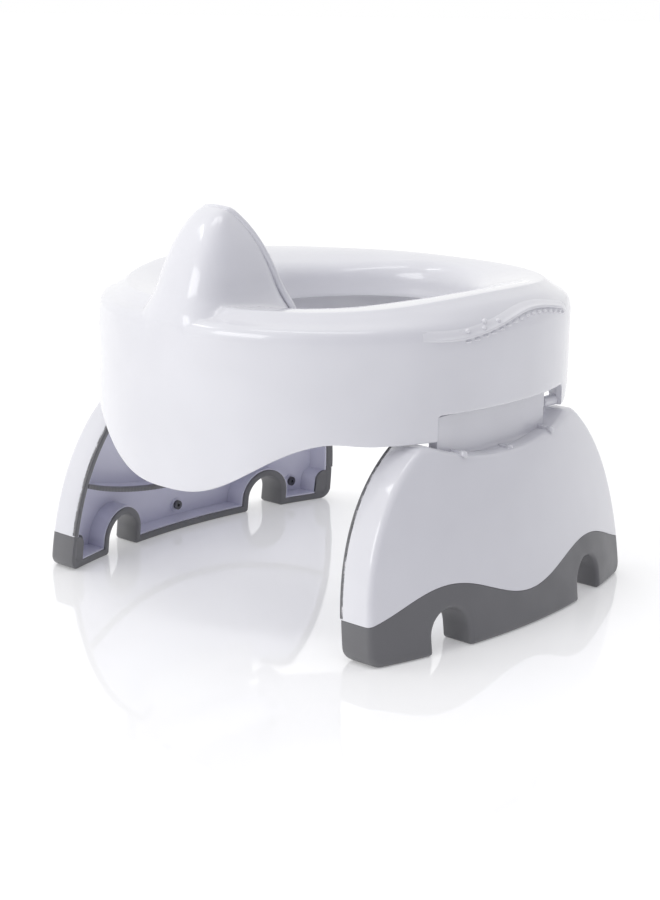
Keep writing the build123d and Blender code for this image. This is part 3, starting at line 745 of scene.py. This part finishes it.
def combined(first, second, operation):
    """Boolean of two flat meshes, returned as a new mesh."""
    a = bpy.data.objects.new("first", first)
    b = bpy.data.objects.new("second", second)
    for operand in (a, b):
        bpy.context.scene.collection.objects.link(operand)
    cut = a.modifiers.new("cut", "BOOLEAN")
    cut.operation, cut.object, cut.solver = operation, b, "EXACT"
    bpy.context.view_layer.update()
    made = bpy.data.meshes.new_from_object(a.evaluated_get(bpy.context.evaluated_depsgraph_get()))
    for operand in (a, b):
        bpy.data.objects.remove(operand)
    return made


def gridded(mesh):
    """Cuts large faces on a grid, so that they can bend."""
    made = bmesh.new()
    made.from_mesh(mesh)
    for axis, first, end in BEND_PLANES:
        for value in np.arange(first, end, BEND_STEP):
            normal, place = [0, 0, 0], [0, 0, 0]
            normal[axis], place[axis] = 1, value
            bmesh.ops.bisect_plane(made, geom=made.verts[:] + made.edges[:] + made.faces[:], dist=1e-4,
                                   plane_co=place, plane_no=normal)
    bmesh.ops.remove_doubles(made, verts=made.verts, dist=1e-3)
    bmesh.ops.triangulate(made, faces=[f for f in made.faces if len(f.verts) > 4])
    made.to_mesh(mesh)
    made.free()
    return mesh


def leg_piece(name, mesh, side_name, side, node):
    """A bent copy of a flat mesh, riding on the leg."""
    made = mesh.copy()
    made.name = name + "_" + side_name
    flat = np.empty(len(made.vertices) * 3)
    made.vertices.foreach_get("co", flat)
    made.vertices.foreach_set("co", (bent(flat.reshape(-1, 3), side) * MM).ravel())
    finish_object(name + "_" + side_name, made, side_name + "_leg", node + "_" + side_name, True, 32.0)


def tray_rings():
    """The leg's solid as nested outlines: rounded outer edge, rim, and the tray behind it."""
    rings = []
    for angle in np.radians(np.linspace(90, 0, 7)):
        rings.append((LEG_ROUND * (1 - math.sin(angle)), leg_outline(LEG_ROUND * (1 - math.cos(angle)))))
    half = LEG_DEPTH / 2
    places = [(half, 0.0), (LEG_DEPTH - 1.0, 0.0), (LEG_DEPTH - 0.3, 0.3), (LEG_DEPTH, 1.0),
              (LEG_DEPTH, LEG_RIM - 0.8), (LEG_DEPTH - 0.25, LEG_RIM - 0.2), (LEG_DEPTH - 0.9, LEG_RIM),
              (half, LEG_RIM), (LEG_SKIN + 1.0, LEG_RIM), (LEG_SKIN + 0.25, LEG_RIM + 0.3),
              (LEG_SKIN, LEG_RIM + 1.0)]
    return rings + [(depth, leg_outline(inset)) for depth, inset in places]


def wave_prism(above, gap):
    """Everything above or below the foot's wavy top edge, as a flat solid."""
    y = np.linspace(-WAVE_REACH, WAVE_REACH, 113)
    z = wave_z(y) + (gap if above else -gap)
    far = WAVE_ABOVE if above else WAVE_BELOW
    outline = np.vstack([np.stack([y, z], 1), [(WAVE_REACH, far), (-WAVE_REACH, far)]])
    return flat_mesh("wave", [(depth, outline) for depth in WAVE_DEPTHS])


def ear_mesh():
    """The soft foot's two flat ears, over the tray's lower corners."""
    made = bmesh.new()
    z = np.linspace(EAR_WALL_LOW, EAR_TOP, 8)
    wall = np.stack([arch_y(z, LEG_RIM - EAR_OVERLAP), z], 1)
    corner_z = EAR_TOP - EAR_RADIUS
    round_corner = arc_points(EAR_Y + EAR_RADIUS, corner_z, EAR_RADIUS, 180, 90, 12)
    edge = [(EAR_Y, EAR_LOW), (EAR_Y, corner_z)]
    outline = np.vstack([edge, round_corner, wall[::-1], [(EAR_OUT_Y, EAR_LOW)]])
    for end in (-1, 1):
        depths = (LEG_DEPTH - TRIM_THICKNESS, LEG_DEPTH - 0.1)
        made.from_mesh(flat_mesh("ear", [(depth, outline * [end, 1]) for depth in depths]))
    bmesh.ops.recalc_face_normals(made, faces=made.faces)
    mesh = bpy.data.meshes.new("ears")
    made.to_mesh(mesh)
    made.free()
    return mesh


# Tongue: its root's lower end, top face, reach and fillet, the fin's rounding, and each end as (inset, size)
ROOT_LOW, ROOT_TOP, ROOT_REACH = 80.5, 86.6, 3.2
ROOT_FILLET, ROOT_FILLET_Z, ROOT_FILLET_HEIGHT = 3.0, 87.6, 2.9
FACE_Z = (105.0, 100.0, 95.0, 90.5)
FIN_ROUND, FACE_ROUND = 0.5, 0.8
TONGUE_ENDS = ((0.0, 0.86), (0.25, 0.95), (0.9, 1.0))
END_HEIGHT_SHARE = 0.15


def tongue(name, side):
    """The tongue: a filleted root on the ledge, the pin barrel, and the fin that closes the notch."""
    face = HINGE_X + KNUCKLE
    fin = face - TONGUE_FIN
    reach = HINGE_X + ROOT_REACH * KNUCKLE
    turn = np.radians(np.linspace(15, 85, 6))
    fillet = np.stack([face + ROOT_FILLET * (1 - np.cos(turn)),
                       ROOT_FILLET_Z + ROOT_FILLET_HEIGHT * (1 - np.sin(turn))], 1)
    outline = np.vstack([[(HINGE_X - KNUCKLE, ROOT_LOW)], arc_points(HINGE_X, HINGE_Z, KNUCKLE, 180, 84, 9),
                         [(fin, TONGUE_TOP - FIN_ROUND), (fin + FIN_ROUND, TONGUE_TOP)],
                         [(face - FACE_ROUND, TONGUE_TOP), (face, TONGUE_TOP - FACE_ROUND)],
                         [(face, z) for z in FACE_Z], fillet, [(reach, ROOT_TOP), (reach, ROOT_LOW)]])
    centre = outline.mean(0)
    slices = [(TONGUE_FRONT + inset, size) for inset, size in TONGUE_ENDS]
    slices += [(y, 1.0) for y in np.linspace(TONGUE_FRONT + 2, TONGUE_BACK - 2, 24)]
    slices += [(TONGUE_BACK - inset, size) for inset, size in TONGUE_ENDS[::-1]]
    points = []
    for y, size in slices:
        sized = centre + (outline - centre) * [size, 1 - (1 - size) * END_HEIGHT_SHARE]
        points += [(x * side, y + LEG_Y, z) for x, z in sized]
    faces = capped_tube(len(slices), len(outline))
    make_object("hinge_tongue_" + name, points, faces, name + "_leg", "leg_shell_" + name, replaces=False)


# Rim trim: its section as (share of the way from the outline to the rim's inner edge, lift), and its gaps
TRIM_SECTION = ((0.0, -1.4), (0.0, 0.35), (0.1, 0.62), (0.32, 0.72), (0.68, 0.72), (0.9, 0.62), (1.0, 0.35),
                (1.0, -1.4))
TRIM_SUNK, TRIM_OVER_RIM, TRIM_GAP, TRIM_GAP_Z, TRIM_LEAST_RUN = 0.3, 0.15, 1.2, 80.0, 4


def kept_runs(keep):
    """Stretches of neighbouring points that are kept, once round a closed outline from its first point."""
    runs, run = [], []
    for i in [*range(len(keep)), 0]:
        if keep[i]:
            run.append(i)
        elif run:
            runs.append(run)
            run = []
    return runs


def rim_trim(name, side):
    """The soft bead that caps the shell's rim, in two runs from the foot over the arch up to the tongue."""
    inner, outer = leg_outline(LEG_RIM - TRIM_OVER_RIM), leg_outline(0.0)
    y, z = outer.T
    at_tongue = (y > TONGUE_FRONT - TRIM_GAP) & (y < TONGUE_BACK + TRIM_GAP) & (z > TRIM_GAP_Z)
    points, faces = [], []
    for run in kept_runs((z > wave_z(y) + SEAM) & ~at_tongue):
        if len(run) < TRIM_LEAST_RUN:
            continue
        faces += capped_tube(len(run), len(TRIM_SECTION), len(points))
        for i in run:
            points += [(LEG_DEPTH + lift - TRIM_SUNK, *(outer[i] * (1 - share) + inner[i] * share))
                       for share, lift in TRIM_SECTION]
    points = bent(points, side)
    make_object("rim_trim_" + name, points, faces, name + "_leg", "leg_edge_trim_" + name, smooth=40.0)


# Rib cap: its curve, its section as (height, depth), and the fine ridges across its inner face
CAP_RADIUS, CAP_LOW, CAP_END_Z, CAP_END_GAP, CAP_WALL_GAP = 262.0, 29.0, 42.0, 0.4, 0.2
CAP_SECTION = ((-1.35, 14.6), (-1.35, 17.6), (-1.05, 18.0), (-0.5, 18.2), (0.5, 18.2), (1.05, 18.0),
               (1.35, 17.6), (1.35, 14.6))
RIDGE_HEIGHT, RIDGE_DEPTH, CAP_STATIONS = 0.18, 17.0, 261


def rib_cap(name, side):
    """The soft cap on the cross rib, a shallow smile with fine grip ridges."""
    y_end = float(arch_y(CAP_END_Z, LEG_RIM)) - CAP_END_GAP
    along = np.linspace(-y_end, y_end, CAP_STATIONS)
    middle = CAP_LOW + CAP_RADIUS - np.sqrt(CAP_RADIUS**2 - along**2)
    inside = arch_y(middle, LEG_RIM) - CAP_WALL_GAP > np.abs(along)
    points = []
    for k, (y, z) in enumerate(zip(along[inside], middle[inside])):
        ridge = RIDGE_HEIGHT * ((k // 2) % 2)
        points += [(depth - (ridge if depth > RIDGE_DEPTH else 0.0), y, z + up) for up, depth in CAP_SECTION]
    faces = capped_tube(int(inside.sum()), len(CAP_SECTION))
    points = bent(points, side)
    make_object("rib_cap_" + name, points, faces, name + "_leg", "leg_rib_grip_" + name, smooth=40.0)


# Ledge ribs: places, section as (across, up), and slices as (x, width, rise) that end in a knob
LEDGE_RIB_Y, LEDGE_RIB_RISE = (-37.0, 0.0, 35.0), 1.0
LEDGE_RIB_SECTION = ((-1.25, -2.2), (-1.1, -0.45), (-0.8, -0.1), (-0.35, 0.05), (0.35, 0.05), (0.8, -0.1),
                     (1.1, -0.45), (1.25, -2.2))
LEDGE_RIB_SLICES = ((104.0, 1.0, 0.0), (110.0, 1.0, 0.0), (111.8, 1.0, 0.05), (112.4, 1.3, 0.4),
                    (113.6, 1.35, 0.5), (114.4, 1.15, 0.1), (114.8, 0.8, -0.7))


def ledge_ribs(name, side):
    """Three small rounded ribs on the crescent ledge, out from the tongue."""
    points, faces = [], []
    for rib_y in LEDGE_RIB_Y:
        faces += capped_tube(len(LEDGE_RIB_SLICES), len(LEDGE_RIB_SECTION), len(points))
        top = float(ledge_z(rib_y)) + LEDGE_RIB_RISE
        for x, width, rise in LEDGE_RIB_SLICES:
            points += [(x * side, LEG_Y + rib_y + across * width, top + up + rise)
                       for across, up in LEDGE_RIB_SECTION]
    make_object("ledge_ribs_" + name, points, faces, name + "_leg", "leg_shell_" + name, False, 60.0)


def legs():
    whole = flat_mesh("leg", tray_rings())
    upper = gridded(combined(whole, wave_prism(True, SEAM), "INTERSECT"))
    lower = combined(whole, wave_prism(False, SEAM), "INTERSECT")
    lower = gridded(combined(lower, ear_mesh(), "UNION"))
    for name, side in SIDES:
        leg_piece("wing_shell", upper, name, side, "leg_shell")
        leg_piece("soft_foot", lower, name, side, "leg_foot")
        tongue(name, side)
        rim_trim(name, side)
        rib_cap(name, side)
        ledge_ribs(name, side)


# ---------------------------------------------------------------- camera, floor and light, in metres

CAMERA_PLACE, CAMERA_LENS = (0.61542, -0.69506, 0.30076), 71.6
CAMERA_AZIMUTH, CAMERA_ELEVATION, CAMERA_ROLL = 0.72544, 0.24663, 0.01283
FLOOR_HALF = 25.0

# The surround's bright and dim ends: (place on the way across, color)
SURROUND_DIM_WAY = (0.93, -0.35, -0.1)
SURROUND = ((0.45, (1.0, 1.0, 1.0, 1)), (0.85, (0.34, 0.34, 0.40, 1)))
# Area lights: (name, place, target, size, power)
LIGHTS = (("key", (-0.15, -1.7, 0.85), (0, 0, 0.1), (0.9, 0.7), 6.4),
          ("top", (0.15, -0.3, 1.5), (0, 0, 0.1), (1.1, 0.25), 2.2),
          ("front", (-0.75, -0.65, 1.2), (0, -0.08, 0.18), (0.5, 0.12), 1.0))


def camera():
    data = bpy.data.cameras.new("camera")
    data.lens, data.sensor_width, data.sensor_fit = CAMERA_LENS, 36.0, "AUTO"
    data.clip_start, data.clip_end = 0.05, 30.0
    level, rise = math.cos(CAMERA_ELEVATION), math.sin(CAMERA_ELEVATION)
    back = Vector((math.sin(CAMERA_AZIMUTH) * level, -math.cos(CAMERA_AZIMUTH) * level, rise))
    right = Vector((0, 0, 1)).cross(back).normalized()
    up = back.cross(right).normalized()
    c, s = math.cos(CAMERA_ROLL), math.sin(CAMERA_ROLL)
    axes = (c * right + s * up, -s * right + c * up, back)
    turn = Matrix([[a[i] for a in axes] for i in range(3)])
    made = bpy.data.objects.new("camera", data)
    made.matrix_world = Matrix.Translation(CAMERA_PLACE) @ turn.to_4x4()
    bpy.context.scene.collection.objects.link(made)
    bpy.context.scene.camera = made


def floor():
    """A pale glossy floor that reaches nearly to the horizon."""
    mesh = bpy.data.meshes.new("floor")
    corners = [(x * FLOOR_HALF, y * FLOOR_HALF, 0) for x, y in ((-1, -1), (1, -1), (1, 1), (-1, 1))]
    mesh.from_pydata(corners, [], [(0, 1, 2, 3)])
    made = bpy.data.objects.new("floor", mesh)
    bpy.context.scene.collection.objects.link(made)
    finish, shader = material("floor", (0.90, 0.90, 0.90), 0.05)
    shader.inputs["IOR"].default_value = 1.75
    shader.inputs["Emission Color"].default_value = (1, 1, 1, 1)
    shader.inputs["Emission Strength"].default_value = 0.2
    mesh.materials.append(finish)


def surround():
    """A white surround, dimmer and cooler towards +X."""
    world = bpy.data.worlds.new("studio")
    bpy.context.scene.world = world
    world.use_nodes = True
    nodes, links = world.node_tree.nodes, world.node_tree.links
    way = nodes.new("ShaderNodeTexCoord").outputs["Generated"]
    lean = nodes.new("ShaderNodeVectorMath")
    lean.operation = "DOT_PRODUCT"
    lean.inputs[1].default_value = SURROUND_DIM_WAY
    links.new(way, lean.inputs[0])
    shift = nodes.new("ShaderNodeMath")
    shift.operation = "MULTIPLY_ADD"
    shift.inputs[1].default_value, shift.inputs[2].default_value = 0.5, 0.5
    links.new(lean.outputs["Value"], shift.inputs[0])
    ramp = nodes.new("ShaderNodeValToRGB")
    for stop, (place, color) in zip(ramp.color_ramp.elements, SURROUND):
        stop.position, stop.color = place, color
    links.new(shift.outputs["Value"], ramp.inputs["Fac"])
    background = nodes["Background"]
    links.new(ramp.outputs["Color"], background.inputs["Color"])
    background.inputs["Strength"].default_value = 1.0


def area(name, place, target, size, power):
    data = bpy.data.lights.new(name, "AREA")
    data.shape, data.size, data.size_y = "RECTANGLE", size[0], size[1]
    data.energy = power
    made = bpy.data.objects.new(name, data)
    made.location = place
    made.rotation_mode = "QUATERNION"
    made.rotation_quaternion = (Vector(target) - Vector(place)).to_track_quat("-Z", "Y")
    bpy.context.scene.collection.objects.link(made)


# ---------------------------------------------------------------- the scene

seat_shell()
guard_bead()
for side_name, side in SIDES:
    grip_strip(side_name, side)
for side_name, side in SIDES:
    for end_name, end in ENDS:
        pivot_lug(side_name, side, end_name, end)
legs()
for node, piece in frame["nodes"].items():
    if piece.material_slots:
        piece.material_slots[0].material = FINISH[SLOT[node]]
camera()
floor()
surround()
for light in LIGHTS:
    area(*light)
bpy.context.scene.view_settings.view_transform = "Standard"
